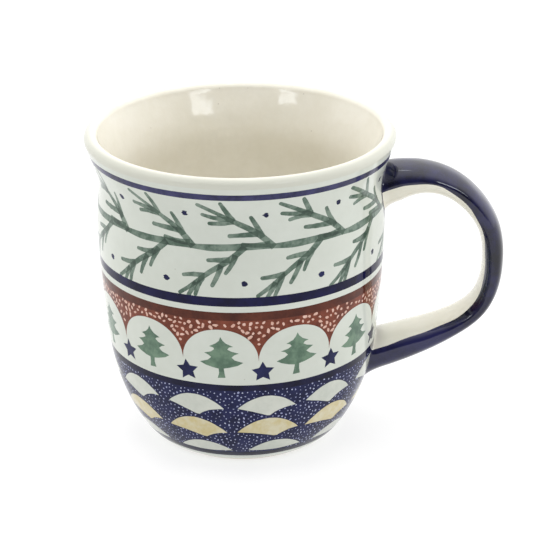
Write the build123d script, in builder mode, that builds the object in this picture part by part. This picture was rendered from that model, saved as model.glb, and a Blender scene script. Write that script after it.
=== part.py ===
from build123d import *
import os

os.makedirs("parts", exist_ok=True)

# A slip-jointed stoneware mug with a full-round lip and one strap handle. Millimetres, +Z up.
# The origin is the centre of the ring it stands on, and the handle points along +X.

# Cup, as measured on the glazed surface
cup_height = 94.4
rim_radius = 45.0
waist_radius = 41.6          # the slight draw-in under the lip
belly_radius = 41.9          # the widest part of the barrel
flank_radius = 40.75         # half-way down the barrel
haunch_radius = 38.6         # where the barrel turns in towards the foot
heel_radius = 31.6           # low on the curve, above the foot
foot_radius = 25.5
heel_height = 7.0
wall = 4.0                   # the lip is a full round of this thickness
lip_lean = 20.0              # how far the wall leans out where it meets the lip, in degrees
heel_spread = 62.0           # how far the wall leans out where it leaves the foot, in degrees

# Floor and foot
floor_thickness = 5.0
floor_flat_radius = 16.0
foot_ring_width = 4.0
foot_recess = 2.5            # how far the floor stands clear of the table
foot_bevel = 0.6

# Glaze
glaze = 0.35

# Handle
handle_width = 15.0          # across the strap, glazed
handle_thickness = 5.3       # where the strap is thinnest, glazed
root_thickness = 9.9         # at both ends of its line, glazed
thinnest_share = 0.6         # how far along its line the strap is thinnest
swell_power = 1.5            # how late the strap swells towards its ends
handle_reach = 32.2          # from the belly to the middle of the strap at its outermost point
crest_reach = 11.4           # from the belly to the top of the loop
crest_rise = 6.7             # the top of the loop above the upper root
shoulder_reach = 24.6        # from the belly to where the loop turns down
shoulder_drop = 6.2          # the shoulder below the crest
outermost_lift = 6.3         # the outermost point above the middle of the loop
bend_reach = 28.6            # from the belly to the lower bend
bend_rise = 17.4             # the lower bend above the lower root
run_in_reach = 16.6          # from the belly to the middle of the nearly straight run back to the wall
run_in_rise = 8.5            # the middle of that run above the lower root
upper_root_drop = 22.5       # the upper root below the rim
lower_root_height = 22.3     # the lower root above the table
upper_root_depth = 3.0       # how far inside the belly's radius the strap's line starts
lower_root_depth = 8.0       # how far inside it the line ends, where the wall is narrower
strap_stations = 11          # ovals that the strap is drawn through
upper_root_angle = 40.0      # how steeply the strap climbs out of the wall, in degrees
lower_root_angle = 17.0      # how steeply it comes back down into the wall, in degrees

# Luting slip round each handle root
slip_length = 7.5            # along the strap, from the wall
slip_flare = 2.6             # how far the slip stands out from the strap at the wall
slip_feather = 0.15          # what is left of it at its thin end
slip_bed = 0.5               # the layer between the strap's end and the wall
slip_stations = 4            # ovals that each ring of slip is drawn through

# Where the barrel's stations stand, as shares of the height
haunch_share = 0.265
flank_share = 0.45
belly_share = 0.64
waist_share = 0.79

haunch_height = cup_height * haunch_share
flank_height = cup_height * flank_share
belly_height = cup_height * belly_share
waist_height = cup_height * waist_share
floor_top = foot_recess + floor_thickness
recess_radius = foot_radius - foot_bevel - foot_ring_width
lip_radius = wall / 2
lip_centre = Vector(rim_radius - lip_radius, cup_height - lip_radius)
cup_plane = Plane.YZ         # the cup's half-section stands at the back, clear of the handle


def leaning(angle):
    """A direction in the profile that leans out from straight up by this angle."""
    return Vector(0, 1).rotate(Axis.Z, -angle)


def lip_joint(radius, side):
    """Where the wall runs into the lip: side is 1 outside the cup and -1 inside it."""
    return lip_centre + Vector(radius, 0).rotate(Axis.Z, -lip_lean) * side


def outer_wall(depth):
    """The outside of the wall, as far under the glazed surface as depth says."""
    points = [
        Vector(foot_radius - depth, foot_bevel),
        Vector(heel_radius - depth, heel_height),
        Vector(haunch_radius - depth, haunch_height),
        Vector(flank_radius - depth, flank_height),
        Vector(belly_radius - depth, belly_height),
        Vector(waist_radius - depth, waist_height),
        lip_joint(lip_radius - depth, 1),
    ]
    return Spline(*points, tangents=[leaning(heel_spread), leaning(lip_lean)])


def inner_wall(depth):
    """The inside of the wall from the flat of the floor to the lip, as far under the glaze as depth says."""
    points = [
        Vector(floor_flat_radius, floor_top - depth),
        Vector(haunch_radius - wall + depth, haunch_height),
        Vector(flank_radius - wall + depth, flank_height),
        Vector(belly_radius - wall + depth, belly_height),
        Vector(waist_radius - wall + depth, waist_height),
        lip_joint(lip_radius - depth, -1),
    ]
    return Spline(*points, tangents=[Vector(1, 0), leaning(lip_lean)])


def lip_arc(depth):
    """The round of the lip, from the inside of the cup over the top to the outside."""
    return CenterArc(lip_centre, lip_radius - depth, 180 - lip_lean, -180)


# The thrown cup: wall, floor and foot ring in one piece of clay
with BuildPart() as cup_body:
    with BuildSketch(cup_plane):
        with BuildLine():
            clay_inside = inner_wall(glaze)
            clay_lip = lip_arc(glaze)
            clay_outside = outer_wall(glaze)
            Polyline(
                clay_outside @ 0,
                (foot_radius - glaze - foot_bevel, 0),
                (recess_radius, 0),
                (recess_radius, foot_recess + glaze),
                (0, foot_recess + glaze),
                (0, floor_top - glaze),
                clay_inside @ 0,
            )
        make_face()
    revolve(axis=Axis.Z)
cup_body.part.label = "cup_body"

# The same outside with no hollow, which trims whatever is luted on to the wall
with BuildPart() as clay_envelope:
    with BuildSketch(cup_plane):
        with BuildLine():
            envelope_side = outer_wall(glaze)
            Polyline(envelope_side @ 1, (0, cup_height), (0, 0), (foot_radius - glaze, 0), envelope_side @ 0)
        make_face()
    revolve(axis=Axis.Z)

# The wall of slip that each root is bedded on
with BuildPart() as bed_envelope:
    with BuildSketch(cup_plane):
        with BuildLine():
            bed_side = outer_wall(glaze - slip_bed)
            Polyline(bed_side @ 1, (0, cup_height), (0, 0), (foot_radius, 0), bed_side @ 0)
        make_face()
    revolve(axis=Axis.Z)

# The line that the middle of the strap follows, from inside the upper wall to inside the lower wall
upper_root_height = cup_height - upper_root_drop
crest_height = upper_root_height + crest_rise
outermost_height = (upper_root_height + lower_root_height) / 2 + outermost_lift
upper_heading = Vector(1, 0, 0).rotate(Axis.Y, -upper_root_angle)
lower_heading = Vector(-1, 0, 0).rotate(Axis.Y, -lower_root_angle)
with BuildLine() as strap_line:
    Spline(
        (belly_radius - upper_root_depth, 0, upper_root_height),
        (belly_radius + crest_reach, 0, crest_height),
        (belly_radius + shoulder_reach, 0, crest_height - shoulder_drop),
        (belly_radius + handle_reach, 0, outermost_height),
        (belly_radius + bend_reach, 0, lower_root_height + bend_rise),
        (belly_radius + run_in_reach, 0, lower_root_height + run_in_rise),
        (belly_radius - lower_root_depth, 0, lower_root_height),
        tangents=[upper_heading, lower_heading],
    )
strap_path = strap_line.edges()[0]
strap_length = strap_path.length


def strap_plane(distance):
    """The plane across the strap at a distance along its line, with X across the strap."""
    origin = strap_path.position_at(distance, position_mode=PositionMode.LENGTH)
    heading = strap_path.tangent_at(distance, position_mode=PositionMode.LENGTH)
    return Plane(origin=origin, x_dir=(0, 1, 0), z_dir=heading)


def strap_thickness(distance):
    """The strap is thinnest below the middle of its line and thickens smoothly towards both roots."""
    from_thinnest = distance / strap_length - thinnest_share
    way_to_end = max(-from_thinnest / thinnest_share, from_thinnest / (1 - thinnest_share))
    return handle_thickness + (root_thickness - handle_thickness) * way_to_end**swell_power


def strap_oval(distance, grow):
    """The strap's section at a distance along its line, grown all round."""
    with BuildSketch(strap_plane(distance)) as oval:
        Ellipse(handle_width / 2 + grow, strap_thickness(distance) / 2 + grow)
    return oval.sketch


def strap_ovals(depth):
    """The sections of the whole strap, as far under its glazed surface as depth says."""
    distances = [strap_length * station / (strap_stations - 1) for station in range(strap_stations)]
    return [strap_oval(distance, -depth) for distance in distances]


def slip_ovals(upper, depth):
    """The sections of one ring of slip, from inside the wall out to its feather edge."""
    ovals = []
    run = slip_length + (upper_root_depth if upper else lower_root_depth)
    for station in range(slip_stations):
        share = station / (slip_stations - 1)
        distance = run * share if upper else strap_length - run * share
        stand_out = slip_feather + (slip_flare - slip_feather) * (1 - share) ** 2
        ovals.append(strap_oval(distance, stand_out - depth))
    return ovals


# Everything that belongs to the handle side, with its glaze on
with BuildPart() as glazed_strap:
    loft(strap_ovals(0))
with BuildPart() as glazed_upper_slip:
    loft(slip_ovals(True, 0))
with BuildPart() as glazed_lower_slip:
    loft(slip_ovals(False, 0))

# The strap itself, which stops short of the wall by the bed of slip
with BuildPart() as handle:
    loft(strap_ovals(glaze))
    add(bed_envelope.part, mode=Mode.SUBTRACT)
handle.part.label = "handle"

# The slip: a bed under each end of the strap, squeezed out into a ring round it
with BuildPart() as upper_slip_joint:
    loft(slip_ovals(True, glaze))
    add(clay_envelope.part, mode=Mode.SUBTRACT)
    add(handle.part, mode=Mode.SUBTRACT)
upper_slip_joint.part.label = "upper_slip_joint"

with BuildPart() as lower_slip_joint:
    loft(slip_ovals(False, glaze))
    add(clay_envelope.part, mode=Mode.SUBTRACT)
    add(handle.part, mode=Mode.SUBTRACT)
lower_slip_joint.part.label = "lower_slip_joint"

# The glaze inside the cup, from the middle of the floor up and over the lip
with BuildPart() as liner_glaze:
    with BuildSketch(cup_plane):
        with BuildLine():
            liner_face = inner_wall(0)
            liner_back = inner_wall(glaze)
            lip_face = lip_arc(0)
            lip_back = lip_arc(glaze)
            Line(lip_face @ 1, lip_back @ 1)
            Polyline(liner_face @ 0, (0, floor_top), (0, floor_top - glaze), liner_back @ 0)
        make_face()
    revolve(axis=Axis.Z)
liner_glaze.part.label = "liner_glaze"

# The glaze on the outside of the wall, open where the handle is luted on
with BuildPart() as outer_glaze:
    with BuildSketch(cup_plane):
        with BuildLine():
            outer_face = outer_wall(0)
            outer_back = outer_wall(glaze)
            Line(outer_face @ 0, outer_back @ 0)
            Line(outer_face @ 1, outer_back @ 1)
        make_face()
    revolve(axis=Axis.Z)
    add([glazed_strap.part, glazed_upper_slip.part, glazed_lower_slip.part], mode=Mode.SUBTRACT)
outer_glaze.part.label = "outer_glaze"

# The glaze on the handle and over both rings of slip
with BuildPart() as handle_glaze:
    add([glazed_strap.part, glazed_upper_slip.part, glazed_lower_slip.part])
    add(clay_envelope.part, mode=Mode.SUBTRACT)
    add([handle.part, upper_slip_joint.part, lower_slip_joint.part], mode=Mode.SUBTRACT)
handle_glaze.part.label = "handle_glaze"

# The glaze under the floor, inside the bare foot ring
with BuildPart() as base_glaze:
    with BuildSketch(Plane.XY.offset(foot_recess)):
        Circle(recess_radius)
    extrude(amount=glaze)
base_glaze.part.label = "base_glaze"

export_step(cup_body.part, "parts/cup_body.step")
export_step(handle.part, "parts/handle.step")
export_step(upper_slip_joint.part, "parts/upper_slip_joint.step")
export_step(lower_slip_joint.part, "parts/lower_slip_joint.step")
export_step(liner_glaze.part, "parts/liner_glaze.step")
export_step(outer_glaze.part, "parts/outer_glaze.step")
export_step(handle_glaze.part, "parts/handle_glaze.step")
export_step(base_glaze.part, "parts/base_glaze.step")
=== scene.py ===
import math
import random

import bpy
import numpy as np
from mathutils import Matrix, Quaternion, Vector
from mathutils.geometry import delaunay_2d_cdt


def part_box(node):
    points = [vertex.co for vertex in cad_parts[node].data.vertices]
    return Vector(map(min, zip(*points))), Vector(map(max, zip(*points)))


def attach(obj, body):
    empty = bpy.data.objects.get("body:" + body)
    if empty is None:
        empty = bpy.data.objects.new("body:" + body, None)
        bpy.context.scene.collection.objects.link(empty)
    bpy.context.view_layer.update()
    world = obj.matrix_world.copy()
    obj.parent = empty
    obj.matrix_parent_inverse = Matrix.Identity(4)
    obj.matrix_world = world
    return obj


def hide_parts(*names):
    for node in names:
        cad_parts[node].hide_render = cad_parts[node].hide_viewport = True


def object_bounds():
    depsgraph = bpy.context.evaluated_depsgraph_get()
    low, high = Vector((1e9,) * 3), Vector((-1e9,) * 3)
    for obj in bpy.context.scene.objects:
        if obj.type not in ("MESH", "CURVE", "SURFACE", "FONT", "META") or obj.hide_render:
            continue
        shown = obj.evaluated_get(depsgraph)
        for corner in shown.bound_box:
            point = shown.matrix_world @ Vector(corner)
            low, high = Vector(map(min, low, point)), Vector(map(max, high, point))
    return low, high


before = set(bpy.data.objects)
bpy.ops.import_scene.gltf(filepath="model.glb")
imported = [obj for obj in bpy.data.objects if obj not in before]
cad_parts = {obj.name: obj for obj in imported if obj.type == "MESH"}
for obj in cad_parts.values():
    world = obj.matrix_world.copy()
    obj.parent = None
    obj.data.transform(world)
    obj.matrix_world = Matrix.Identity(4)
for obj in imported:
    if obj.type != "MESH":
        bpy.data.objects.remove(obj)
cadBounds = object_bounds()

mm = 0.001
dice = random.Random(12)

# shapes read from the frame
cadLow, cadHigh = Vector(cadBounds[0]), Vector(cadBounds[1])
cupHeight = cadHigh.z
rimRadius = -cadLow.x
print("frame: mug", round(cupHeight / mm, 1), "mm tall, rim", round(2 * rimRadius / mm, 1), "mm")

cup = {
    "wall": 4.0 * mm, "lipLean": 20.0, "glaze": 0.35 * mm, "rings": 240,
    "floorFlat": 16.0 * mm, "footTop": 0.6 * mm,
    "floorTurn": (3.2 * mm, 0.16 * mm),          # how far past its flat, and how far up, the floor turns
    # heights, in mm, at which the half-sections are read off the CAD
    "outerRead": [2, 4.5, 7.5, 12, 18, 25, 34, 44, 54, 64, 74, 81, 87],
    "innerRead": [80, 70, 58, 46, 34, 25, 18, 13.5, 10.5],
    "outerSteps": 2001, "innerSteps": 110, "lipSteps": 26,
    "lipShadeFade": (-0.6 * mm, 1.2 * mm),            # either side of the lip's middle, where the cream turns to the darker colour painted as shade on the outer half of the lip
}
lipRound = cup["wall"] / 2
lipCentre = np.array([rimRadius - lipRound, cupHeight - lipRound])
lean = math.radians(cup["lipLean"])
lipOut = lipCentre + lipRound * np.array([math.cos(lean), -math.sin(lean)])
lipIn = lipCentre - lipRound * np.array([math.cos(lean), -math.sin(lean)])
footTop = cup["footTop"]


def ringRadius(node, height, outside):
    # how far a CAD node's surface stands from the axis at one height
    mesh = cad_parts[node].data
    co = np.empty(len(mesh.vertices) * 3)
    mesh.vertices.foreach_get("co", co)
    co = co.reshape(-1, 3)
    pairs = np.empty(len(mesh.edges) * 2, dtype=int)
    mesh.edges.foreach_get("vertices", pairs)
    a, b = co[pairs[0::2]], co[pairs[1::2]]
    crosses = (a[:, 2] - height) * (b[:, 2] - height) < 0
    a, b = a[crosses], b[crosses]
    share = (height - a[:, 2]) / (b[:, 2] - a[:, 2])
    points = a + (b - a) * share[:, None]
    radii = np.hypot(points[:, 0], points[:, 1])
    return float(radii.max() if outside else radii.min())


class SmoothPath:
    # a cubic through a few points, read by its share of the length
    def __init__(self, points):
        self.points = np.array(points, float)
        steps = np.linalg.norm(np.diff(self.points, axis=0), axis=1)
        self.knots = np.concatenate([[0], np.cumsum(steps)])
        count = len(self.points)
        matrix = np.zeros((count, count))
        right = np.zeros_like(self.points)
        matrix[0, 0] = matrix[-1, -1] = 1
        for i in range(1, count - 1):
            matrix[i, i - 1] = steps[i - 1]
            matrix[i, i] = 2 * (steps[i - 1] + steps[i])
            matrix[i, i + 1] = steps[i]
            right[i] = 6 * ((self.points[i + 1] - self.points[i]) / steps[i]
                            - (self.points[i] - self.points[i - 1]) / steps[i - 1])
        self.bends = np.linalg.solve(matrix, right)

    def read(self, shares):
        place = np.clip(np.asarray(shares, float), 0, 1) * self.knots[-1]
        i = np.clip(np.searchsorted(self.knots, place, side="right") - 1, 0, len(self.knots) - 2)
        width = (self.knots[i + 1] - self.knots[i])[:, None]
        low, high = self.points[i], self.points[i + 1]
        up = ((place - self.knots[i])[:, None]) / width
        down = 1 - up
        curve = ((down ** 3 - down) * self.bends[i] + (up ** 3 - up) * self.bends[i + 1]) * width ** 2 / 6
        slope = ((1 - 3 * down ** 2) * self.bends[i] + (3 * up ** 2 - 1) * self.bends[i + 1]) * width / 6
        heading = (high - low) / width + slope
        heading /= np.linalg.norm(heading, axis=1)[:, None]
        return down * low + up * high + curve, heading


# shader groups, each built once
def newGroup(name, inputs, outputs):
    group = bpy.data.node_groups.new(name, "ShaderNodeTree")
    for label, kind, value in inputs:
        socket = group.interface.new_socket(name=label, in_out="INPUT", socket_type=kind)
        socket.default_value = value
    for label, kind in outputs:
        group.interface.new_socket(name=label, in_out="OUTPUT", socket_type=kind)
    start = group.nodes.new("NodeGroupInput")
    end = group.nodes.new("NodeGroupOutput")
    return group, start, end


def noiseNode(tree, vector, scale, detail, roughness=0.5):
    node = tree.nodes.new("ShaderNodeTexNoise")
    node.inputs["Scale"].default_value = scale
    node.inputs["Detail"].default_value = detail
    node.inputs["Roughness"].default_value = roughness
    tree.links.new(vector, node.inputs["Vector"])
    return node


def rangeNode(tree, value, low, high, toLow=0.0, toHigh=1.0, kind="LINEAR"):
    node = tree.nodes.new("ShaderNodeMapRange")
    node.interpolation_type = kind
    tree.links.new(value, node.inputs["Value"])
    for label, number in (("From Min", low), ("From Max", high), ("To Min", toLow), ("To Max", toHigh)):
        node.inputs[label].default_value = number
    return node.outputs["Result"]


def mathNode(tree, operation, *values):
    node = tree.nodes.new("ShaderNodeMath")
    node.operation = operation
    for socket, value in zip(node.inputs, values):
        if isinstance(value, (int, float)):
            socket.default_value = value
        else:
            tree.links.new(value, socket)
    return node.outputs[0]


def mixColour(tree, share, first, second):
    # the second colour may be a fixed one
    node = tree.nodes.new("ShaderNodeMix")
    node.data_type = "RGBA"
    tree.links.new(share, node.inputs["Factor"])
    tree.links.new(first, node.inputs["A"])
    if isinstance(second, tuple):
        node.inputs["B"].default_value = second
    else:
        tree.links.new(second, node.inputs["B"])
    return node.outputs["Result"]


streakShare = 0.35                               # how much the fine streaks count beside the broad pools


def makeBrushGroup():
    # paint laid on by brush or sponge: two colours mixed by broad pools and fine streaks
    group, start, end = newGroup("brushedPaint", [
        ("Thin", "NodeSocketColor", (0.5, 0.5, 0.5, 1)), ("Thick", "NodeSocketColor", (0.1, 0.1, 0.1, 1)),
        ("Pool Size", "NodeSocketFloat", 300.0), ("Streak Size", "NodeSocketFloat", 900.0),
        ("Balance", "NodeSocketFloat", 0.5), ("Softness", "NodeSocketFloat", 0.3)],
        [("Color", "NodeSocketColor")])
    links, given = group.links, start.outputs
    place = group.nodes.new("ShaderNodeTexCoord").outputs["Object"]
    pool = noiseNode(group, place, 300, 2)
    links.new(given["Pool Size"], pool.inputs["Scale"])
    streak = noiseNode(group, place, 900, 3, 0.6)
    links.new(given["Streak Size"], streak.inputs["Scale"])
    broad = mathNode(group, "MULTIPLY", pool.outputs["Fac"], 1 - streakShare)
    cover = mathNode(group, "MULTIPLY_ADD", streak.outputs["Fac"], streakShare, broad)
    fit = group.nodes.new("ShaderNodeMapRange")
    fit.interpolation_type = "SMOOTHSTEP"
    links.new(cover, fit.inputs["Value"])
    links.new(mathNode(group, "SUBTRACT", given["Balance"], given["Softness"]), fit.inputs["From Min"])
    links.new(mathNode(group, "ADD", given["Balance"], given["Softness"]), fit.inputs["From Max"])
    links.new(mixColour(group, fit.outputs["Result"], given["Thin"], given["Thick"]), end.inputs["Color"])
    return group


glazeSkin = {
    # noise scales of the long ripple, the orange peel, the duller patches and the specks
    "Ripple": 42, "Peel": 700, "patches": 120, "specks": 150,
    "rippleDepth": 0.004, "peelDepth": 0.0004, "speckEdge": (0.035, 0.02), "speckColour": "6b5540",
}


def makeGlazeGroup():
    # the glaze's surface: long soft ripples, a fine orange peel and a few pin specks of iron
    group, start, end = newGroup("glazeSkin", [
        ("Ripple", "NodeSocketFloat", 0.2), ("Peel", "NodeSocketFloat", 0.05),
        ("Gloss", "NodeSocketFloat", 0.1), ("Gloss Spread", "NodeSocketFloat", 0.05)],
        [("Normal", "NodeSocketVector"), ("Roughness", "NodeSocketFloat"), ("Speck", "NodeSocketFloat")])
    links, given = group.links, start.outputs
    place = group.nodes.new("ShaderNodeTexCoord").outputs["Object"]
    normal = None
    for label, depth in (("Ripple", glazeSkin["rippleDepth"]), ("Peel", glazeSkin["peelDepth"])):
        bump = group.nodes.new("ShaderNodeBump")
        bump.inputs["Distance"].default_value = depth
        links.new(given[label], bump.inputs["Strength"])
        links.new(noiseNode(group, place, glazeSkin[label], 2).outputs["Fac"], bump.inputs["Height"])
        if normal:
            links.new(normal, bump.inputs["Normal"])
        normal = bump.outputs["Normal"]
    links.new(normal, end.inputs["Normal"])
    patches = noiseNode(group, place, glazeSkin["patches"], 3).outputs["Fac"]
    rough = mathNode(group, "MULTIPLY_ADD", patches, given["Gloss Spread"], given["Gloss"])
    links.new(rough, end.inputs["Roughness"])
    specks = group.nodes.new("ShaderNodeTexVoronoi")
    specks.inputs["Scale"].default_value = glazeSkin["specks"]
    links.new(place, specks.inputs["Vector"])
    far, near = glazeSkin["speckEdge"]
    links.new(rangeNode(group, specks.outputs["Distance"], far, near), end.inputs["Speck"])
    return group


brushGroup = makeBrushGroup()
glazeGroup = makeGlazeGroup()


def useGroup(tree, group, values):
    node = tree.nodes.new("ShaderNodeGroup")
    node.node_tree = group
    for label, value in values.items():
        node.inputs[label].default_value = value
    return node


def rgb(code):
    # a colour written as it looks, turned into the linear one that shaders take
    parts = [int(code[i:i + 2], 16) / 255 for i in (0, 2, 4)]
    return tuple(c / 12.92 if c <= 0.04045 else ((c + 0.055) / 1.055) ** 2.4 for c in parts) + (1.0,)


def lipShadeMask(tree, low, high):
    # 0 inside the cup and 1 on the outside of the lip, from how far the surface stands off the axis; it
    # places the painted shade on the lip
    place = tree.nodes.new("ShaderNodeTexCoord")
    flat = tree.nodes.new("ShaderNodeVectorMath")
    flat.operation = "MULTIPLY"
    flat.inputs[1].default_value = (1, 1, 0)
    reach = tree.nodes.new("ShaderNodeVectorMath")
    reach.operation = "LENGTH"
    tree.links.new(place.outputs["Object"], flat.inputs[0])
    tree.links.new(flat.outputs[0], reach.inputs[0])
    return rangeNode(tree, reach.outputs["Value"], low, high)


def glazedPaint(name, thin, thick, pool=300, streak=900, balance=0.5, softness=0.2,
                gloss=0.05, spread=0.05, ripple=0.2, peel=0.06, specks=0.0, sheen=0.3, lip=None):
    material = bpy.data.materials.new(name)
    material.use_nodes = True
    tree = material.node_tree
    shader = tree.nodes["Principled BSDF"]
    shader.inputs["IOR"].default_value = 1.5
    shader.inputs["Specular IOR Level"].default_value = sheen
    paint = useGroup(tree, brushGroup, {"Thin": rgb(thin), "Thick": rgb(thick), "Pool Size": pool,
                                        "Streak Size": streak, "Balance": balance, "Softness": softness})
    skin = useGroup(tree, glazeGroup, {"Ripple": ripple, "Peel": peel,
                                       "Gloss": gloss, "Gloss Spread": spread})
    colour = paint.outputs["Color"]
    if specks:
        speck = mathNode(tree, "MULTIPLY", skin.outputs["Speck"], specks)
        colour = mixColour(tree, speck, colour, rgb(glazeSkin["speckColour"]))
    # the outer half of the lip gets a darker colour: painted shade, standing in for the light it takes from
    # above
    if lip:
        low, high = (float(lipCentre[0]) + edge for edge in cup["lipShadeFade"])
        colour = mixColour(tree, lipShadeMask(tree, low, high), colour, rgb(lip))
    tree.links.new(colour, shader.inputs["Base Color"])
    tree.links.new(skin.outputs["Roughness"], shader.inputs["Roughness"])
    tree.links.new(skin.outputs["Normal"], shader.inputs["Normal"])
    return material


# each paint's thin and thick colours, then the sizes of its pools and streaks, their balance and softness
paints = {
    "ivory": glazedPaint("ivoryGlaze", "cdd1c8", "c5c9bf", 60, 400, 0.5, 0.25, specks=0.3),
    # the liner's last colour is painted shade, darker on the outer half of the lip, which faces the light
    # from above
    "liner": glazedPaint("linerGlazeLipShade", "e9e5d9", "e1dccd", 50, 400, 0.5, 0.25, specks=0.3, lip="c7c7bb"),
    "navyLine": glazedPaint("navyBanding", "151540", "0a0a24", 160, 700, 0.5, 0.2, sheen=0.15),
    "softLine": glazedPaint("navyFineLine", "3a3a62", "22223f", 160, 700, 0.5, 0.2, sheen=0.2),
    "cobalt": glazedPaint("cobaltStamp", "23274f", "141735", 260, 1100, 0.5, 0.2, sheen=0.15),
    "cobaltEdge": glazedPaint("cobaltBand", "19193a", "0f0f20", 200, 900, 0.5, 0.2, sheen=0.15),
    "green": glazedPaint("greenBrush", "768679", "445a4c", 330, 1200, 0.5, 0.16),
    "greenDouble": glazedPaint("greenBrushTwice", "4b5f51", "2f4036", 330, 1200, 0.5, 0.16),
    "fir": glazedPaint("greenFir", "6b856f", "4a6453", 200, 900, 0.5, 0.16),
    "brownBand": glazedPaint("brownBand", "5c2c1d", "401b12", 150, 700, 0.5, 0.2, sheen=0.2),
    "brown": glazedPaint("brownStamp", "7b3f2d", "5c2b1d", 300, 1200, 0.5, 0.2, sheen=0.2),
    "pink": glazedPaint("bareSpeck", "dcbaab", "c79a87", 500, 1500, 0.5, 0.2),
    "white": glazedPaint("whiteSpeck", "b9bed6", "868bb5", 500, 1500, 0.5, 0.2),
    "fan": glazedPaint("ivoryFan", "cbcdc3", "bbbfb5", 100, 700, 0.5, 0.2),
    "yellow": glazedPaint("yellowFan", "d0cab0", "c2b27e", 220, 900, 0.5, 0.22),
}
paintOrder = list(paints)
print("materials:", len(paintOrder), "glazed paints")

# the outside of the wall, from the foot to the lip
outerPoints = [(ringRadius("outer_glaze", footTop + 0.02 * mm, True), footTop)]
outerPoints += [(ringRadius("outer_glaze", height * mm, True), height * mm) for height in cup["outerRead"]]
outerPoints.append(tuple(lipOut))
outerLine, outerHeading = SmoothPath(outerPoints).read(np.linspace(0, 1, cup["outerSteps"]))


def wallRadius(height):
    return np.interp(height, outerLine[:, 1], outerLine[:, 0])


def wallLean(height):
    # the wall's heading at a height: how much it runs outwards and upwards
    out = np.interp(height, outerLine[:, 1], outerHeading[:, 0])
    return out, np.sqrt(1 - out ** 2)


def onCup(angle, radius, height):
    # angle 0 is the front of the cup, and it grows towards the handle
    return np.stack([radius * np.sin(angle), -radius * np.cos(angle), height], -1)


def newPiece(name, verts, faces, materials, slots=None, normals=None, uvs=None):
    mesh = bpy.data.meshes.new(name)
    mesh.from_pydata([tuple(v) for v in verts], [], faces)
    for material in materials:
        mesh.materials.append(material)
    if slots is not None:
        mesh.polygons.foreach_set("material_index", slots)
    mesh.polygons.foreach_set("use_smooth", [True] * len(mesh.polygons))
    if uvs is not None:
        layer = mesh.uv_layers.new(name="OFBake")
        layer.data.foreach_set("uv", np.asarray(uvs, dtype=np.float32).ravel())
    mesh.validate()
    if normals is not None:
        mesh.normals_split_custom_set_from_vertices([tuple(n) for n in normals])
    mesh.update()
    piece = bpy.data.objects.new(name, mesh)
    bpy.context.scene.collection.objects.link(piece)
    return piece


def lathe(name, line, normals, material, count, closed=True):
    # turns a half-section round the axis; points on the axis become one vertex
    verts, norms, faces, rows = [], [], [], []
    turn = np.linspace(0, math.tau, count, endpoint=False) + math.pi / 2
    for (radius, height), (out, up) in zip(line, normals):
        if radius < 1e-7:
            rows.append([len(verts)] * count)
            verts.append((0, 0, height))
            norms.append((0, 0, up))
            continue
        rows.append(list(range(len(verts), len(verts) + count)))
        verts.extend(onCup(turn, radius, np.full(count, height)))
        norms.extend(onCup(turn, out, np.full(count, up)))
    pairs = list(zip(rows, rows[1:])) + ([(rows[-1], rows[0])] if closed else [])
    for low, high in pairs:
        for i in range(count):
            j = (i + 1) % count
            corners = [low[i], low[j], high[j], high[i]]
            face = [v for k, v in enumerate(corners) if v != corners[k - 1]]
            if len(set(face)) > 2:
                faces.append(face)
    return newPiece(name, verts, faces, [material], normals=norms)


# motifs, in mm on the unrolled wall
unroll = 40.0                                    # mm of sheet width for each radian round the cup
sheetWidth = math.tau * unroll
sheetLeft, sheetRight = -0.75 * sheetWidth, 0.25 * sheetWidth       # its seam is behind the handle


def acrossSheet(count, spare=3):
    # stations from seam to seam and a little beyond, which repeat exactly once round the cup
    return [sheetLeft + sheetWidth * k / count for k in range(-spare, count + spare + 1)]


def circle(radius, count, rough=0.0, stretch=1.0, turn=0.0):
    points = []
    for k in range(count):
        a = math.tau * k / count
        r = radius * (1 + rough * dice.uniform(-1, 1))
        x, y = r * math.cos(a) * stretch, r * math.sin(a)
        points.append((x * math.cos(turn) - y * math.sin(turn), x * math.sin(turn) + y * math.cos(turn)))
    return points


def arcThrough(a, top, b, count):
    # points on a smooth bow from a to b, whose middle is top
    points = []
    for k in range(count + 1):
        t = k / count
        s = 1 - t
        mid = (2 * top[0] - (a[0] + b[0]) / 2, 2 * top[1] - (a[1] + b[1]) / 2)
        points.append((s * s * a[0] + 2 * s * t * mid[0] + t * t * b[0],
                       s * s * a[1] + 2 * s * t * mid[1] + t * t * b[1]))
    return points


brush = {"stations": 9, "rough": 0.07, "cap": (60, 30, 0, -30, -60)}      # the cap is in degrees


def stroke(path, rootWidth, tipWidth):
    # one pull of a brush along a path, round at the tip
    line, heading = SmoothPath(path).read(np.linspace(0, 1, brush["stations"]))
    left, right = [], []
    for k, (point, way) in enumerate(zip(line, heading)):
        t = k / (len(line) - 1)
        half = (rootWidth + (tipWidth - rootWidth) * t) / 2 * (1 + brush["rough"] * dice.uniform(-1, 1))
        left.append((point[0] - way[1] * half, point[1] + way[0] * half))
        right.append((point[0] + way[1] * half, point[1] - way[0] * half))
    tip, way = line[-1], heading[-1]
    cap = []
    for a in brush["cap"]:
        c, s = math.cos(math.radians(a)), math.sin(math.radians(a))
        half = tipWidth / 2
        cap.append((tip[0] + half * (c * way[0] - s * way[1]), tip[1] + half * (c * way[1] + s * way[0])))
    return left + cap + right[::-1]


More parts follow.
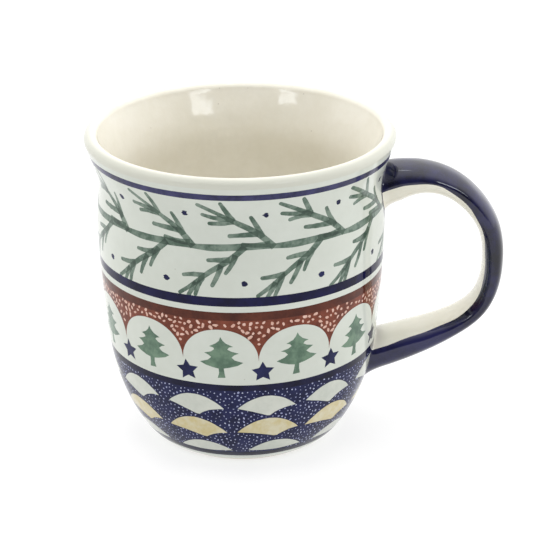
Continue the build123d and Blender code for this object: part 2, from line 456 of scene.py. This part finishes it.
sprig = {
    "upperRib": [(0.3, -0.3), (-4.4, 4.2), (-9.6, 7.2), (-14.2, 9.9), (-20.2, 13.2)],
    "lowerRib": [(0.3, 0.2), (-4.7, -4.3), (-10.0, -8.0), (-14.4, -11.9), (-18.6, -15.2)],
    # where each needle leaves the rib, as a share of it, then its heading in degrees and its length
    "upperNeedles": [(0.17, 119, 6.8), (0.56, 117, 6.6), (0.06, 177, 8.2), (0.24, 179, 8.6),
                     (0.56, 184, 6.4), (0.62, 172, 7.6)],
    "lowerNeedles": [(0.24, 186, 6.0), (0.60, 186, 6.4), (0.15, -114, 6.4), (0.36, -114, 6.8),
                     (0.64, -108, 6.2), (0.74, -116, 5.0)],
    "rib": 1.9, "needle": 1.75, "tip": 1.15,
    # how far the hand strays, in degrees, shares or mm: a sprig's turn and size, then a needle's turn,
    # length and bow, then a dot's points
    "turns": 2.0, "grows": 0.03, "needleTurns": 3, "needleGrows": 0.06, "bows": 0.35, "dotStrays": 0.3,
}
layout = {
    "repeats": 12, "drift": 1.9,                 # the hand spaces the front a little wider than the back
    "upperLine": (88.1, 90.0), "thickLine": (56.0, 58.8), "heelLine": (3.6, 5.3),
    "stem": 73.8, "stemWidth": 1.85, "upperJoint": 11.6, "lowerJoint": 0.9,
    "dotUp": (-2.0, 9.3), "dotDown": (0.0, -10.7),
    "dot": (0.86, 14, 0.06),                     # its radius, corners and roughness
    "brownTop": 54.2, "brownSolid": 51.6, "archTop": 48.8, "archFoot": 38.7, "archJoint": 6.0,
    "archPower": 2.1,                            # 2 is an ellipse, and more is squarer
    "fir": -8.7, "firBase": 36.4, "star": 7.4, "starHeight": 35.3, "starTips": (3.4, 1.75),
    "starTurn": 6, "blueTop": 31.1, "blueSolid": 29.1,
    # how far the hand strays with a stamp: degrees along, mm up, and degrees of turn
    "firStrays": (0.4, 0.25, 3), "starStrays": (0.3, 0.3, 9), "fanStrays": (0.5, 0.25, 2.5),
}
specks = {
    # how far apart they stand, the least and greatest size and stretch of one, and its corners and roughness
    "pink": {"apart": 1.36, "size": (0.31, 0.46), "stretch": (1.0, 2.0), "corners": 9, "rough": 0.24},
    "white": {"apart": 1.08, "size": (0.13, 0.27), "stretch": (0.8, 1.7), "corners": 7, "rough": 0.25},
    # how far they keep off the arches, straight down and a step to either side, and off the bands and fans
    "overArch": 0.8, "besideArch": 0.5, "step": 0.75, "underBrown": 0.3,
    "underBlue": 0.2, "overHeel": 0.4, "offFan": 0.55,
}


def onSheet(angle, height):
    return math.radians(angle) * unroll, height


def spaced(start, count=None):
    # where a motif's repeats stand, in degrees from the front, with the slips of a hand
    count = count or layout["repeats"]
    places = []
    for k in range(count):
        angle = (start + 360 * k / count + 180) % 360 - 180
        places.append(angle + layout["drift"] * math.sin(math.radians(angle)) * 12 / count)
    return sorted(places)


def placed(points, angle, height, turn=0.0, grow=1.0):
    # a motif drawn in mm, stretched so that it keeps its real width at that height
    stretch = unroll / (float(wallRadius(height * mm)) / mm)
    rise = float(wallLean(height * mm)[1])
    x0, y0 = onSheet(angle, height)
    c, s = math.cos(math.radians(turn)), math.sin(math.radians(turn))
    return [(x0 + grow * (c * x - s * y) * stretch, y0 + grow * (s * x + c * y) * rise) for x, y in points]


def slip(size):
    return dice.uniform(-size, size)


def stamped(points, angle, height, strays, turn=0.0):
    # a motif set down by hand, a little off its place
    along, up, twist = strays
    return placed(points, angle + slip(along), height + slip(up), turn + slip(twist))


motifs = []                                      # (paint, outline) in the order they are laid on


def addMotif(paint, outline):
    # every outline runs the same way round, as the triangulation wants it
    turned = sum(a[0] * b[1] - b[0] * a[1] for a, b in zip(outline, outline[1:] + outline[:1]))
    motifs.append((paint, outline if turned > 0 else outline[::-1]))


def addBand(paint, low, high, wobble=0.06):
    phase = dice.uniform(0, math.tau)
    top, bottom = [], []
    for x in acrossSheet(300):
        turn = x / unroll
        # whole numbers of waves, so that the band closes on itself
        sway = wobble * (math.sin(turn + phase) + 0.5 * math.sin(3 * turn + 2 * phase))
        fray = 0.4 * wobble * math.sin(11 * turn + 5 * phase)
        bottom.append((x, low + sway + fray))
        top.append((x, high + sway - fray))
    addMotif(paint, bottom + top[::-1])


def firOutline():
    half = [(0.0, 10.1), (0.55, 9.0), (1.5, 8.0), (3.4, 7.1), (2.2, 6.75), (1.9, 6.2), (2.9, 5.5), (5.0, 4.9),
            (3.8, 4.4), (2.9, 3.6), (3.9, 2.7), (6.3, 1.9), (4.6, 1.0), (2.4, 0.3), (0.75, 0.0),
            (0.8, -1.5), (1.15, -3.1)]
    return half + [(-x * 0.97, y - 0.12) for x, y in half[:0:-1]]      # the stamp is a little lopsided


def starOutline():
    points = []
    for k in range(10):
        radius = layout["starTips"][k % 2]
        a = math.radians(90 + 36 * k)
        points.append((radius * math.cos(a) * (1 + slip(0.05)), radius * math.sin(a) * (1 + slip(0.05))))
    return points


def fanOutline(half, top, foot, leftDip, rightDip):
    # a bow on top, and two hollow edges that meet in a blunt foot
    outline = arcThrough((-half, 0), (0, top), (half, 0), 16)
    outline += arcThrough((half, 0), rightDip, (foot[0] + 0.5, foot[1]), 8)[1:]
    outline += arcThrough((foot[0] - 0.5, foot[1] + 0.05), leftDip, (-half, 0), 8)[:-1]
    return [(x + slip(0.04), y + slip(0.04)) for x, y in outline]


def insideAny(point, outlines):
    x, y = point
    for outline, (x0, y0, x1, y1) in outlines:
        if not (x0 <= x <= x1 and y0 <= y <= y1):
            continue
        inside = False
        j = len(outline) - 1
        for i in range(len(outline)):
            (ax, ay), (bx, by) = outline[i], outline[j]
            if (ay > y) != (by > y) and x < (bx - ax) * (y - ay) / (by - ay) + ax:
                inside = not inside
            j = i
        if inside:
            return True
    return False


def boxed(outline, margin):
    xs, ys = [p[0] for p in outline], [p[1] for p in outline]
    cx, cy = sum(xs) / len(xs), sum(ys) / len(ys)
    grown = []
    for x, y in outline:
        d = max(math.hypot(x - cx, y - cy), 1e-6)
        grown.append((x + (x - cx) / d * margin, y + (y - cy) / d * margin))
    return grown, (min(xs) - margin, min(ys) - margin, max(xs) + margin, max(ys) + margin)


dartsEach = 14                                   # how many are thrown for each speck that there is room for


def scatter(spacing, low, high, allowed):
    # seeded darts that keep their distance, on a sheet that closes on itself
    width = sheetWidth
    cell = spacing / math.sqrt(2)
    across, up = int(width / cell), int((high - low) / cell) + 1
    grid, points = {}, []
    for _ in range(int(width * (high - low) / spacing ** 2 * dartsEach)):
        x, y = dice.uniform(-width / 2, width / 2), dice.uniform(low, high)
        if not allowed(x, y):
            continue
        i, j = int((x + width / 2) / cell) % across, int((y - low) / cell)
        near = [grid.get(((i + a) % across, j + b)) for a in (-2, -1, 0, 1, 2) for b in (-2, -1, 0, 1, 2)]
        if any(p and math.hypot((p[0] - x + width / 2) % width - width / 2, p[1] - y) < spacing
               for p in near):
            continue
        grid[(i, j)] = (x, y)
        points.append((x, y))
    return points


def drawSpecks(paint, low, high, allowed):
    kind = specks[paint]
    for x, y in scatter(kind["apart"], low, high, allowed):
        size, stretch = dice.uniform(*kind["size"]), dice.uniform(*kind["stretch"])
        turn = dice.uniform(0, math.pi)
        blob = circle(size, kind["corners"], kind["rough"], stretch, turn)
        addMotif(paint, [(x + u, y + v) for u, v in blob])


def archHeight(x, joints):
    # the underside of the brown stamp: half-ovals that meet in points
    width = sheetWidth
    x = (x + width / 2) % width - width / 2
    marks = sorted(joints)
    marks = [marks[-1] - width] + marks + [marks[0] + width]
    for low, high in zip(marks, marks[1:]):
        if low <= x <= high:
            t = 2 * (x - low) / (high - low) - 1
            rise = layout["archTop"] - layout["archFoot"]
            return layout["archFoot"] + rise * max(1 - abs(t) ** layout["archPower"], 0) ** 0.5
    return layout["archFoot"]


def drawBranch():
    addMotif("green", stemOutline(layout["stem"], layout["stemWidth"]))
    for ribName, needleName, dot, start in (("upperRib", "upperNeedles", "dotUp", layout["upperJoint"]),
                                            ("lowerRib", "lowerNeedles", "dotDown", layout["lowerJoint"])):
        for angle in spaced(start):
            turn, grow = slip(sprig["turns"]), 1 + slip(sprig["grows"])
            base = layout["stem"]
            rib = sprig[ribName]
            addMotif("green", placed(stroke(rib, sprig["rib"], sprig["tip"]), angle, base, turn, grow))
            line, _ = SmoothPath(rib).read(np.linspace(0, 1, 101))
            for share, heading, length in sprig[needleName]:
                root = line[int(share * 100)]
                a = math.radians(heading + slip(sprig["needleTurns"]))
                reach = length * (1 + slip(sprig["needleGrows"]))
                bow = slip(sprig["bows"])
                tip = (root[0] + reach * math.cos(a), root[1] + reach * math.sin(a))
                middle = (root[0] + reach * 0.55 * math.cos(a) - bow * math.sin(a),
                          root[1] + reach * 0.55 * math.sin(a) + bow * math.cos(a))
                needle = stroke([tuple(root), middle, tip], sprig["needle"], sprig["tip"])
                addMotif("green", placed(needle, angle, base, turn, grow))
            across, up = layout[dot]
            ring = circle(*layout["dot"])
            blob = [(x + across + slip(sprig["dotStrays"]), y) for x, y in ring]
            addMotif("cobalt", placed(blob, angle, base + up))


def stemOutline(height, width):
    bottom, top = [], []
    for x in acrossSheet(260):
        turn = x / unroll
        sway = 0.16 * math.sin(12 * turn + 1.0) + 0.1 * math.sin(5 * turn)
        thick = width * (1 + 0.14 * math.sin(12 * turn + 2.4) + 0.08 * math.sin(23 * turn)) / 2
        bottom.append((x, height + sway - thick))
        top.append((x, height + sway + thick))
    return bottom + top[::-1]


def drawArches():
    joints = [onSheet(angle, 0)[0] for angle in spaced(layout["archJoint"])]
    stations = acrossSheet(900, 6)
    tips = [joint + shift for joint in joints for shift in (-sheetWidth, 0, sheetWidth)]
    marks = sorted(stations + [tip for tip in tips if stations[0] < tip < stations[-1]])
    under = [(x, archHeight(x, joints)) for x in marks]
    over = [(x, layout["brownSolid"] + 0.6) for x in acrossSheet(60, 1)]       # it runs on under the band
    addMotif("brown", under + over[::-1])
    addBand("brownBand", layout["brownSolid"], layout["brownTop"], 0.07)

    def inStamp(x, y):
        beside = [archHeight(x + step, joints) for step in (-specks["step"], specks["step"])]
        return (archHeight(x, joints) + specks["overArch"] < y < layout["brownSolid"] - specks["underBrown"]
                and max(beside) + specks["besideArch"] < y)

    drawSpecks("pink", layout["archFoot"], layout["brownSolid"], inStamp)
    for angle in spaced(layout["fir"]):
        outline = [(x + slip(0.09), y + slip(0.07)) for x, y in firOutline()]
        addMotif("fir", stamped(outline, angle, layout["firBase"], layout["firStrays"]))
    for angle in spaced(layout["star"]):
        outline = stamped(starOutline(), angle, layout["starHeight"], layout["starStrays"],
                          layout["starTurn"])
        addMotif("cobalt", outline)


fans = [
    {"paint": "fan", "start": 9.4, "count": 12, "height": 23.1, "half": 8.5, "top": 4.4, "foot": (0.5, -2.8),
     "leftDip": (-4.4, -1.1), "rightDip": (4.2, -0.8)},
    {"paint": "yellow", "start": 10.8, "count": 11, "height": 13.9, "half": 9.0, "top": 5.4,
     "foot": (2.2, -2.3), "leftDip": (-3.4, -0.7), "rightDip": (5.6, -0.6)},
    {"paint": "fan", "start": 15.9, "count": 10, "height": 6.1, "half": 7.9, "top": 4.3, "foot": (0.0, -0.5),
     "leftDip": (-4.0, -0.3), "rightDip": (4.0, -0.3)},
]


def drawBlue():
    addBand("cobalt", layout["heelLine"][0] - 0.1, layout["blueTop"], 0.10)
    addBand("cobaltEdge", layout["blueSolid"], layout["blueTop"], 0.10)
    outlines = []
    for row in fans:
        for angle in spaced(row["start"], row["count"]):
            shape = fanOutline(row["half"], row["top"], row["foot"], row["leftDip"], row["rightDip"])
            outline = stamped(shape, angle, row["height"], layout["fanStrays"])
            addMotif(row["paint"], outline)
            for shift in (-sheetWidth, 0, sheetWidth):
                outlines.append(boxed([(x + shift, y) for x, y in outline], specks["offFan"]))

    def inField(x, y):
        return not insideAny((x, y), outlines)

    lowest, highest = layout["heelLine"][1] + specks["overHeel"], layout["blueSolid"] - specks["underBlue"]
    drawSpecks("white", lowest, highest, inField)
    addBand("cobaltEdge", *layout["heelLine"], 0.05)


rootMarks = {
    # brushed cobalt round each end of the handle: its height, half-width and half-height in mm
    "upper": (75.6, 9.7, 9.1), "lower": (25.0, 10.4, 8.6), "corners": 44,
}


def drawRoots():
    for height, half, tall in (rootMarks["upper"], rootMarks["lower"]):
        points = []
        for k in range(rootMarks["corners"]):
            a = math.tau * k / rootMarks["corners"]
            wave = 1 + 0.05 * math.sin(3 * a + 1) + 0.03 * math.sin(7 * a)
            points.append((half * math.cos(a) * wave, tall * math.sin(a) * wave))
        addMotif("navyLine", placed(points, 90, height))


addBand("softLine", *layout["upperLine"])
drawBranch()
addBand("navyLine", *layout["thickLine"])
drawArches()
drawBlue()
drawRoots()
print("motifs:", len(motifs), "outlines")

# the painted wall
wall = {"columns": 260, "rowStep": 0.95, "backRows": 20, "margin": 0.1}


def buildPaintedWall():
    bottom, top = footTop / mm, lipOut[1] / mm
    rows = int((top - bottom) / wall["rowStep"])
    columns = wall["columns"]
    points, edges, faces, owners = [], [], [], []
    for j in range(rows + 1):
        for i in range(columns + 1):
            points.append(Vector((sheetLeft + sheetWidth * i / columns, bottom + (top - bottom) * j / rows)))
    last = columns + 1
    for j in range(rows):
        edges.append((j * last, (j + 1) * last))
        edges.append((j * last + columns, (j + 1) * last + columns))
    for number, (_, outline) in enumerate(motifs):
        xs = [p[0] for p in outline]
        whole = max(xs) - min(xs) > sheetWidth
        for shift in (0,) if whole else (-sheetWidth, 0, sheetWidth):
            if min(xs) + shift > sheetRight or max(xs) + shift < sheetLeft:
                continue
            start = len(points)
            points.extend(Vector((x + shift, y)) for x, y in outline)
            faces.append(list(range(start, len(points))))
            owners.append(number)
    outPoints, _, outFaces, _, _, parents = delaunay_2d_cdt(points, edges, faces, 0, 1e-5, True)
    sheet = np.array([tuple(p) for p in outPoints])
    for edge in (sheetLeft, sheetRight):
        sheet[:, 0][np.abs(sheet[:, 0] - edge) < 2e-4] = edge
    triangles = np.array(outFaces)
    centres = sheet[triangles].mean(axis=1)
    across = (sheetLeft < centres[:, 0]) & (centres[:, 0] < sheetRight)
    inside = across & (bottom < centres[:, 1]) & (centres[:, 1] < top)
    greenNumbers = {n for n, (paint, _) in enumerate(motifs) if paint == "green"}
    kept, slots = triangles[inside], []
    for k in np.nonzero(inside)[0]:
        laid = {owners[p] for p in parents[k]}
        paint = motifs[max(laid)][0] if laid else "ivory"
        if paint == "green" and len(laid & greenNumbers) > 1:
            paint = "greenDouble"
        slots.append(paintOrder.index(paint))
    # the right-hand edge of the sheet is sewn on to the left-hand one
    used = np.unique(kept)
    leftEdge = used[sheet[used, 0] == sheetLeft]
    rightEdge = used[sheet[used, 0] == sheetRight]
    leftEdge = leftEdge[np.argsort(sheet[leftEdge, 1])]
    rename = np.arange(len(sheet))
    for n in rightEdge:
        rename[n] = leftEdge[np.argmin(np.abs(sheet[leftEdge, 1] - sheet[n, 1]))]
    used, tris = np.unique(rename[kept], return_inverse=True)
    tris = tris.reshape(-1, 3)
    merged = sheet[used]
    whole = (tris[:, 0] != tris[:, 1]) & (tris[:, 1] != tris[:, 2]) & (tris[:, 0] != tris[:, 2])
    flat = sheet[kept][whole]
    slots = [slot for slot, good in zip(slots, whole) if good]
    tris = [list(map(int, tri)) for tri in tris[whole]]
    # the painting fills the UV square above a low margin, which the back of the coat takes
    margin = wall["margin"]
    uvs = [((x - sheetLeft) / sheetWidth, margin + (1 - margin) * (y - bottom) / (top - bottom))
           for tri in flat for x, y in tri]
    angle, height = merged[:, 0] / unroll, merged[:, 1] * mm
    height = np.clip(height, footTop, lipOut[1])
    radius = wallRadius(height)
    out, up = wallLean(height)
    front = onCup(angle, radius, height)
    norms = onCup(angle, up, -out)
    # the back of the coat, on the clay, and the two rims that close it
    count = len(merged)
    rimLow = sorted([i for i in range(count) if merged[i][1] < bottom + 1e-4], key=lambda i: merged[i][0])
    rimHigh = sorted([i for i in range(count) if merged[i][1] > top - 1e-4], key=lambda i: merged[i][0])
    verts, normals = list(front), list(norms)
    back = []
    for share in np.linspace(0, 1, wall["backRows"] + 1):
        h = footTop + (lipOut[1] - footTop) * share
        r = float(wallRadius(h)) - cup["glaze"]
        ring = []
        for i in rimLow:
            ring.append(len(verts))
            verts.append(onCup(merged[i][0] / unroll, r, h))
            normals.append(onCup(merged[i][0] / unroll, -1.0, 0.0))
        back.append(ring)
    around = len(rimLow)

    def strip(a, b, flip, low, high):
        for i in range(around):
            j = (i + 1) % around
            quad = [a[i], a[j], b[j], b[i]]
            spots = [(i / around, low), ((i + 1) / around, low), ((i + 1) / around, high), (i / around, high)]
            tris.append(quad[::-1] if flip else quad)
            uvs.extend(spots[::-1] if flip else spots)
            slots.append(0)

    for k, (a, b) in enumerate(zip(back, back[1:])):
        strip(a, b, True, 0.01 + 0.08 * k / len(back), 0.01 + 0.08 * (k + 1) / len(back))
    strip(rimLow, back[0], True, 0.0, 0.005)
    strip(rimHigh, back[-1], False, 0.09, 0.095)
    return newPiece("painted_wall", verts, tris, list(paints.values()), slots, normals, uvs)


paintedWall = buildPaintedWall()
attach(paintedWall, "root")
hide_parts("outer_glaze")
print("painted wall:", len(paintedWall.data.polygons), "faces")


# the liner: inside, over the lip
def buildLiner():
    points = [tuple(lipIn)]
    points += [(ringRadius("liner_glaze", h * mm, False), h * mm) for h in cup["innerRead"]]
    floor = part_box("liner_glaze")[0].z + cup["glaze"]
    flat, (past, up) = cup["floorFlat"], cup["floorTurn"]
    points += [(flat + past, floor + up), (flat - 2 * mm, floor), (flat / 2, floor), (0, floor)]
    inside, heading = SmoothPath(points).read(np.linspace(0, 1, cup["innerSteps"]))
    inside[-1] = (0, floor)
    lip, lipNormals = [], []
    for a in np.linspace(-lean, math.pi - lean, cup["lipSteps"]):
        lip.append(lipCentre + lipRound * np.array([math.cos(a), math.sin(a)]))
        lipNormals.append((math.cos(a), math.sin(a)))
    line = [tuple(p) for p in lip] + [tuple(p) for p in inside[1:]]
    normals = lipNormals + [(h[1], -h[0]) for h in heading[1:]]
    back, backNormals = [], []
    for point, normal in list(zip(line, normals))[::-3]:
        r, h = point[0] - normal[0] * cup["glaze"], point[1] - normal[1] * cup["glaze"]
        back.append((max(r, 0), h))
        backNormals.append((-normal[0], -normal[1]))
    back[0] = (0, floor - cup["glaze"])
    return lathe("liner", line + back, normals + backNormals, paints["liner"], cup["rings"])


liner = buildLiner()
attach(liner, "root")
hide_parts("liner_glaze")
print("liner:", len(liner.data.polygons), "faces")

# the handle, its slip and its coat
strap = {
    # the strap's middle, as reach from the belly and height, then its thickness there, in mm
    "line": [(-3.4, 75.4, 14.6), (4.6, 78.2, 11.0), (11.4, 78.8, 8.7), (18.4, 76.9, 7.4), (24.8, 72.2, 6.9),
             (30.9, 62.4, 6.5), (32.1, 53.0, 6.1), (31.0, 44.5, 5.6), (28.3, 38.9, 5.5), (20.0, 32.5, 6.9),
             (11.1, 28.7, 9.2), (-1.5, 24.6, 11.2), (-8.0, 22.6, 11.8)],
    "belly": 41.9, "width": 15.0, "rootWidth": 16.5,
    "around": 60, "along": 130, "squareness": 0.9,
    # where the cobalt stops, in degrees round from the outside of the loop, at shares of the line
    "border": [(0.0, 87.0), (0.2, 91.0), (0.3, 105.0), (0.38, 128.0), (0.46, 148.0), (0.6, 146.0),
               (0.7, 136.0), (0.85, 119.0), (1.0, 112.0)],
    # how far the strap runs out on to the wall below, what share of that its top and sides do, from how far
    # off they start to turn, the rings in the turn, and how many at each end are all outline
    "flare": 2.6, "tight": 0.25, "blend": 4.0, "filletRings": 16, "outlineRings": 4,
    # how far its feathered edge sinks into the wall, then how its last ring is tucked in: what share of the
    # way to the middle, and how far on
    "sink": 0.08, "tuck": (0.1, 0.8),
    "longest": 40.0,                             # no side of it is further than this from the wall
    # the clay under the coat: how much deeper the strap and the slip lie, how much less the slip flares, and
    # how far, in shares of the line, the clay strap stops from the wall and the slip runs up it
    "strapDeeper": 0.1, "slipDeeper": 0.5, "slipTighter": 1.2, "strapStops": 0.004, "slipRuns": 0.02,
}
strapPath = SmoothPath([(strap["belly"] + x, z, t) for x, z, t in strap["line"]])


def wallGap(p):
    height = min(max(p[2] * mm, footTop), lipOut[1])
    return math.hypot(p[0], p[1]) - float(wallRadius(height)) / mm


def strapTurns(share):
    # angles round the section, 0 on the outside of the loop, with a vertex on each edge of the paint
    half = strap["around"] // 2
    inner = half // 3
    outer = half - inner
    border = float(np.interp(share, *zip(*strap["border"])))
    # the edge was cut in by hand, so it wanders
    border += 1.6 * math.sin(23 * share + 1) + 1.2 * math.sin(61 * share)
    turns = [border * k / outer for k in range(outer)]
    turns += [border + (180 - border) * k / inner for k in range(inner + 1)]
    return np.radians(turns + [-t for t in turns[-2:0:-1]]), outer


def strapSection(point, way, share, shrink):
    thick = point[2] - 2 * shrink
    wide = strap["width"] + (strap["rootWidth"] - strap["width"]) * abs(2 * share - 1) ** 5 - 2 * shrink
    outward = np.array([-way[1], way[0]]) / math.hypot(way[0], way[1])
    turns, _ = strapTurns(share)
    ring = []
    for a in turns:
        c = math.copysign(abs(math.cos(a)) ** strap["squareness"], math.cos(a)) * thick / 2
        s = math.copysign(abs(math.sin(a)) ** strap["squareness"], math.sin(a)) * wide / 2
        ring.append(np.array([point[0] + outward[0] * c, s, point[1] + outward[1] * c]))
    return ring


def strapFoot(ring, way, shrink, flare):
    # each side of the strap runs on, bends away where it would meet the wall, and thins out along it
    onward = np.array([way[0], 0, way[1]]) / math.hypot(way[0], way[1])
    hits = []
    for p in ring:
        low, high = 0.0, strap["longest"]
        for _ in range(40):                      # halved until it is exact
            middle = (low + high) / 2
            if wallGap(p + onward * middle) > 0:
                low = middle
            else:
                high = middle
        hits.append(p + onward * low)
    centre = sum(hits) / len(hits)
    feet = []
    for hit in hits:
        away = hit - centre
        away /= np.linalg.norm(away)
        spread = strap["tight"] + (1 - strap["tight"]) * max(0.0, -away[2])
        foot = hit + away * flare * spread
        for _ in range(5):                       # each pass brings it nearer to the wall
            radial = np.array([foot[0], foot[1], 0]) / math.hypot(foot[0], foot[1])
            foot = foot - radial * (wallGap(foot) + strap["sink"] + shrink)
        feet.append(foot)
    rows = []
    for k in range(1, strap["filletRings"] + 1):
        u = k / strap["filletRings"]
        row = []
        for p, hit, foot in zip(ring, hits, feet):
            row.append((1 - u) ** 2 * p + 2 * u * (1 - u) * hit + u ** 2 * foot)
        rows.append(row)
    # a last ring inside the clay closes the shape
    inwards, on = strap["tuck"]
    rows.append([foot + (centre - foot) * inwards + onward * on for foot in feet])
    return rows


def strapPiece(name, first, last, shrink, flare, materials, node, feet=(True, True)):
    # part of the strap between two shares of its line, running on to the wall at whichever ends are asked for
    shares = np.linspace(first, last, max(8, int(strap["along"] * (last - first))))
    mids, ways = strapPath.read(shares)
    body = []
    for share, mid, way in zip(shares, mids, ways):
        body.append(strapSection(mid, way, share, shrink))
    rings = body
    if feet[0]:
        rings = strapFoot(body[0], -ways[0], shrink, flare)[::-1] + rings
    if feet[1]:
        rings = rings + strapFoot(body[-1], ways[-1], shrink, flare)
    around = strap["around"]
    _, border = strapTurns(0)
    verts = [p * mm for ring in rings for p in ring]
    faces, slots = [], []
    for k in range(len(rings) - 1):
        outlined = min(k, len(rings) - 2 - k) < strap["outlineRings"]
        for i in range(around):
            j = (i + 1) % around
            faces.append([k * around + i, (k + 1) * around + i, (k + 1) * around + j, k * around + j])
            slots.append(1 if len(materials) > 1 and border <= i < around - border and not outlined else 0)
    faces += [list(range(around)), [(len(rings) - 1) * around + i for i in range(around)][::-1]]
    slots += [0, 0]
    piece = newPiece(name, verts, faces, materials, slots)
    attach(piece, "root")
    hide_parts(node)
    return piece


def wallShares():
    # where the strap's line comes out of the wall, and where it goes back in
    shares = np.linspace(0, 1, 800)
    line, _ = strapPath.read(shares)
    clear = [share for share, p in zip(shares, line) if wallGap((p[0], 0, p[1])) > 0]
    return clear[0], clear[-1]


leaves, enters = wallShares()
inset = strap["blend"] / strapPath.knots[-1]
innerPaint = glazedPaint("handleIvory", "ece9dc", "e4dfce", 50, 400, 0.5, 0.25, specks=0.3)
handlePaint = glazedPaint("handleCobalt", "25254f", "0f0f1b", 45, 260, 0.5, 0.14, ripple=0.3, sheen=0.5)
handleCoat = strapPiece("handle_coat", leaves + inset, enters - inset, 0.0, strap["flare"],
                        [handlePaint, innerPaint], "handle_glaze")
print("handle coat:", len(handleCoat.data.polygons), "faces")

# bare clay for what the glaze leaves or hides
clay = glazedPaint("bareStoneware", "cdbfa6", "b9a688", 120, 1600, 0.5, 0.2, gloss=0.75, spread=0.2, peel=0.6,
                   sheen=0.5)
depth = cup["glaze"] / mm
stops, runs = strap["strapStops"], strap["slipRuns"]
slipDepth, slipFlare = depth + strap["slipDeeper"], strap["flare"] - strap["slipTighter"]
strapPiece("handle_strap", leaves + stops, enters - stops, depth + strap["strapDeeper"], 0.0, [clay],
           "handle", (False, False))
strapPiece("upper_slip", leaves + inset, leaves + inset + runs, slipDepth, slipFlare, [clay],
           "upper_slip_joint", (True, False))
strapPiece("lower_slip", enters - inset - runs, enters - inset, slipDepth, slipFlare, [clay],
           "lower_slip_joint", (False, True))
for node, material in (("cup_body", clay), ("base_glaze", paints["liner"])):
    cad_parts[node].data.materials.clear()
    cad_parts[node].data.materials.append(material)
print("clay: cup, strap and slip")

# floor, light and camera
studio = {
    "floorSize": 3.0, "floor": "9a9a9a", "floorGlow": 0.68,
    "cameraDistance": 600.0, "cameraHeight": 298.2, "pitch": 22.62, "yaw": 0.93, "roll": -0.40,
    "lens": 143.8, "sensor": 36.0,
}
tent = {
    # along each axis: where the light starts and stops changing, and its strength there
    "fades": [("Y", -0.85, -0.02, 0.06, 1.35), ("Z", 0.3, 0.95, 0.0, 0.75), ("X", 0.6, 1.0, 0.0, 0.4)],
    # azimuth from the camera's side and elevation in degrees, then width, height, and radiance
    "boxes": [(34.5, 23.0, 0.31, 0.13, 9.0), (-43.5, 25.5, 0.26, 0.09, 9.0), (157.0, 79.0, 0.16, 0.05, 7.0)],
    "distance": 1.0, "boxTint": (0.9, 0.95, 1.0),
}


def buildFloor():
    mesh = bpy.data.meshes.new("floor")
    s = studio["floorSize"]
    mesh.from_pydata([(-s, -s, 0), (s, -s, 0), (s, s, 0), (-s, s, 0)], [], [(0, 1, 2, 3)])
    floor = bpy.data.objects.new("floor", mesh)
    bpy.context.scene.collection.objects.link(floor)
    material = bpy.data.materials.new("paleFloor")
    material.use_nodes = True
    shader = material.node_tree.nodes["Principled BSDF"]
    shader.inputs["Base Color"].default_value = rgb(studio["floor"])
    shader.inputs["Roughness"].default_value = 0.9
    shader.inputs["Emission Color"].default_value = (1, 1, 1, 1)
    shader.inputs["Emission Strength"].default_value = studio["floorGlow"]
    mesh.materials.append(material)


def buildLights():
    # a white tent, dim on the side that the camera looks from
    world = bpy.data.worlds.new("studioTent")
    bpy.context.scene.world = world
    world.use_nodes = True
    tree = world.node_tree
    back = tree.nodes["Background"]
    back.inputs["Color"].default_value = (1, 1, 1, 1)
    place = tree.nodes.new("ShaderNodeTexCoord")
    split = tree.nodes.new("ShaderNodeSeparateXYZ")
    tree.links.new(place.outputs["Generated"], split.inputs["Vector"])
    strength = None
    for axis, low, high, atLow, atHigh in tent["fades"]:
        fade = rangeNode(tree, split.outputs[axis], low, high, atLow, atHigh, "SMOOTHSTEP")
        strength = mathNode(tree, "ADD", strength, fade) if strength else fade
    tree.links.new(strength, back.inputs["Strength"])
    for azimuth, elevation, width, height, radiance in tent["boxes"]:
        lamp = bpy.data.lights.new("softbox", "AREA")
        lamp.shape = "RECTANGLE"
        lamp.size, lamp.size_y = width, height
        lamp.color = tent["boxTint"]
        lamp.energy = radiance * math.pi * width * height
        holder = bpy.data.objects.new("softbox", lamp)
        bpy.context.scene.collection.objects.link(holder)
        side, rise = math.radians(azimuth), math.radians(elevation)
        target = Vector((0, 0, cupHeight))
        holder.location = target + tent["distance"] * Vector(
            (math.sin(side) * math.cos(rise), -math.cos(side) * math.cos(rise), math.sin(rise)))
        holder.rotation_euler = (target - holder.location).to_track_quat("-Z", "Y").to_euler()


def buildCamera():
    camera = bpy.data.cameras.new("camera")
    camera.lens = studio["lens"]
    camera.sensor_width = studio["sensor"]
    camera.clip_start = 0.01
    holder = bpy.data.objects.new("camera", camera)
    bpy.context.scene.collection.objects.link(holder)
    holder.location = (0, -studio["cameraDistance"] * mm, studio["cameraHeight"] * mm)
    pitch, yaw, roll = (math.radians(studio[k]) for k in ("pitch", "yaw", "roll"))
    forward = Vector((math.sin(yaw) * math.cos(pitch), math.cos(yaw) * math.cos(pitch), -math.sin(pitch)))
    holder.rotation_mode = "QUATERNION"
    level = forward.to_track_quat("-Z", "Y")
    holder.rotation_quaternion = level @ Quaternion((0, 0, 1), roll)
    bpy.context.scene.camera = holder


buildFloor()
buildLights()
buildCamera()
bpy.context.scene.view_settings.view_transform = "Standard"
print("studio: floor, tent,", len(tent["boxes"]), "softboxes and camera")
